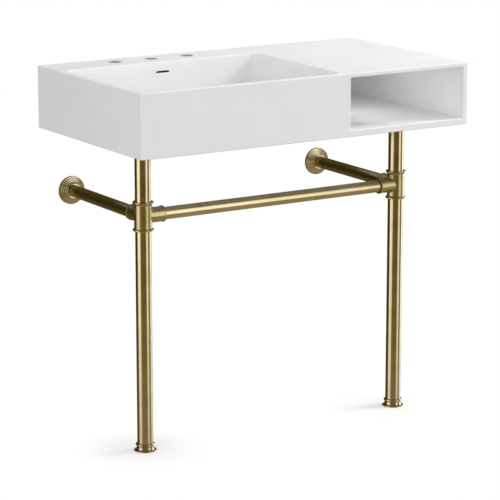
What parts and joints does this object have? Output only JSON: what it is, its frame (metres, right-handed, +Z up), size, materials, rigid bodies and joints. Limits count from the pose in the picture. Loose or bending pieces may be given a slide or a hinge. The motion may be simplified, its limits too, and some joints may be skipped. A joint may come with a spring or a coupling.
{
  "type": "console sink with legs",
  "caption": "Rectangular console sink with a bowl beside an open cubby, on round brass legs with a towel rail in front and struts that run back to the wall.",
  "frame": {"origin": "on the floor, under the middle of the sink top's outline", "axes": "+X to the right along the front, +Y to the wall, +Z up"},
  "size_m": [0.9144, 0.508, 0.889],
  "materials": {
    "cast_resin": "white cast stone resin, satin",
    "brushed_brass": "brushed antique brass, satin",
    "plain_brass": "turned brass, unfinished",
    "steel": "zinc-plated steel",
    "rubber": "black rubber"
  },
  "bodies": {
    "root": {"sink_top": "cast_resin", "leg_left_upper_tube": "brushed_brass", "leg_left_lower_tube": "brushed_brass", "leg_right_upper_tube": "brushed_brass", "leg_right_lower_tube": "brushed_brass", "cross_fitting_left": "brushed_brass", "cross_fitting_right": "brushed_brass", "front_rail": "brushed_brass", "side_strut_left": "brushed_brass", "side_strut_right": "brushed_brass", "foot_ferrule_left": "brushed_brass", "foot_ferrule_right": "brushed_brass", "leg_cap_left": "plain_brass", "leg_cap_right": "plain_brass", "leg_insert_left": "plain_brass", "leg_insert_right": "plain_brass", "wall_plate_left": "steel", "wall_plate_right": "steel", "strut_screw_left": "steel", "strut_screw_right": "steel", "cross_screws_left": "steel", "cross_screws_right": "steel", "leg_stud_left": "steel", "leg_stud_right": "steel"},
    "foot_left": {"foot_base_left": "brushed_brass", "foot_stud_left": "steel", "foot_pad_left": "rubber"},
    "flange_left": {"wall_flange_left": "brushed_brass", "flange_ring_left": "rubber"},
    "foot_right": {"foot_base_right": "brushed_brass", "foot_stud_right": "steel", "foot_pad_right": "rubber"},
    "flange_right": {"wall_flange_right": "brushed_brass", "flange_ring_right": "rubber"}
  },
  "joints": [
    {"name": "foot_left_level", "type": "slide", "parent": "root", "child": "foot_left", "axis": [0, 0, -1], "range_m": [0, 0.012]},
    {"name": "flange_left_slide", "type": "slide", "parent": "root", "child": "flange_left", "axis": [0, -1, 0], "range_m": [0, 0.2875]},
    {"name": "foot_right_level", "type": "slide", "parent": "root", "child": "foot_right", "axis": [0, 0, -1], "range_m": [0, 0.012]},
    {"name": "flange_right_slide", "type": "slide", "parent": "root", "child": "flange_right", "axis": [0, -1, 0], "range_m": [0, 0.2875]}
  ]
}
